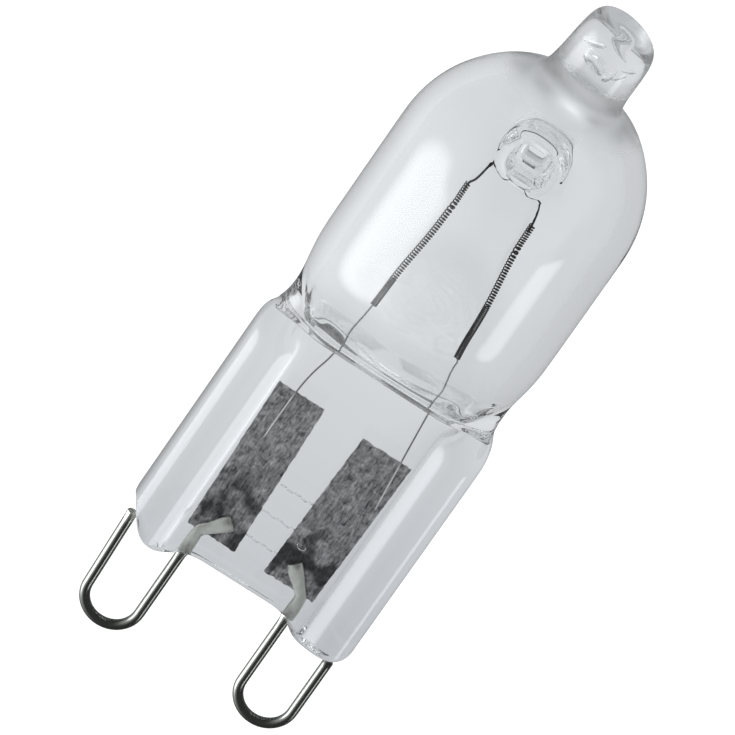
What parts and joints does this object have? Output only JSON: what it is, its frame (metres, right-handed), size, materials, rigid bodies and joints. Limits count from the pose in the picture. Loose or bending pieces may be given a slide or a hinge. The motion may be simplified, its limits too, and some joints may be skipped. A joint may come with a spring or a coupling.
{
  "type": "halogen capsule bulb",
  "caption": "Clear quartz halogen capsule bulb with a domed end, sealed tip, flat pinch seal and looped-wire base, with a hanging coiled filament inside.",
  "frame": {"origin": "on the bulb's axis, at the foot of the rails of the pinch seal, where the bulb stops against its socket", "axes": "+Z along the bulb's axis from the wire loops to the sealed tip, +X across the flat pinch from the left loop to the right one, -Y to the front"},
  "size_m": [0.0132, 0.0128, 0.0423],
  "materials": {
    "quartz": "clear fused quartz, fire polished",
    "foil": "thin molybdenum foil, dull grey with lighter streaks",
    "loop_wire": "polished nickel-coloured wire",
    "lead_wire": "plain molybdenum wire",
    "filament": "coiled tungsten wire, dull grey"
  },
  "bodies": {
    "root": {"quartz_envelope": "quartz", "foil_left": "foil", "foil_right": "foil", "loop_left": "loop_wire", "loop_right": "loop_wire", "inner_lead_left": "lead_wire", "inner_lead_right": "lead_wire", "filament": "filament"}
  },
  "joints": []
}
